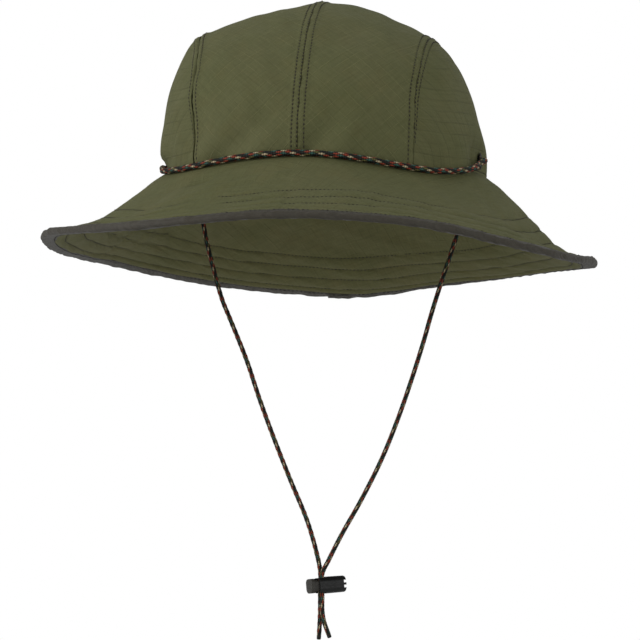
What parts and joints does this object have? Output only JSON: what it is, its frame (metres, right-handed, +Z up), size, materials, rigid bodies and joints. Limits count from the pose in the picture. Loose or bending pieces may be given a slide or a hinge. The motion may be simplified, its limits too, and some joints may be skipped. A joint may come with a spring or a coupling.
{
  "type": "boonie hat",
  "caption": "Soft brimmed sun hat with a panelled crown, a stitched and bound brim, and a braided cord that runs round the front and hangs as a chin cord with a sprung cord lock.",
  "frame": {"origin": "centre of the head opening, in the mean plane of the seam between crown and brim", "axes": "+Z up through the crown, -Y the front of the hat, +X to the right for someone facing it, on the side of the right_ nodes"},
  "size_m": [0.2896, 0.3112, 0.3396],
  "materials": {
    "shell_fabric": "matte",
    "underside_fabric": "matte",
    "seam_tape": "matte",
    "sweatband_fabric": "matte",
    "interlining": "matte",
    "binding_tape": "satin",
    "braided_cord": "satin",
    "eyelet_metal": "satin",
    "lock_plastic": "satin",
    "button_plastic": "satin",
    "spring_steel": "satin"
  },
  "bodies": {
    "hat": {"left_top_panel": "shell_fabric", "right_top_panel": "shell_fabric", "left_side_panel": "shell_fabric", "right_side_panel": "shell_fabric", "centre_seam_tape": "seam_tape", "left_seam_tape": "seam_tape", "right_seam_tape": "seam_tape", "sweatband": "sweatband_fabric", "brim_top": "shell_fabric", "brim_interlining": "interlining", "brim_underside": "underside_fabric", "brim_binding": "binding_tape", "left_eyelet": "eyelet_metal", "right_eyelet": "eyelet_metal", "left_eyelet_washer": "eyelet_metal", "right_eyelet_washer": "eyelet_metal", "front_band_cord": "braided_cord"},
    "chin_cord": {"left_chin_cord": "braided_cord", "right_chin_cord": "braided_cord"},
    "cord_lock": {"cord_lock_body": "lock_plastic", "cord_lock_spring": "spring_steel"},
    "lock_button": {"cord_lock_button": "button_plastic"}
  },
  "joints": [
    {"name": "chin_cord_swing", "type": "hinge", "parent": "hat", "child": "chin_cord", "pos_m": [0, -0.005, 0.0105], "axis": [1, 0, 0], "range_deg": [-60, 60]},
    {"name": "cord_lock_slide", "type": "slide", "parent": "chin_cord", "child": "cord_lock", "axis": [0, 0, -1], "range_m": [0, 0.008]},
    {"name": "button_press", "type": "slide", "parent": "cord_lock", "child": "lock_button", "axis": [0.8627, 0.4981, 0.0872], "range_m": [0, 0.0022], "stiffness_N_per_m": 500, "springref_m": -0.002, "deforming": ["cord_lock_spring"]}
  ]
}
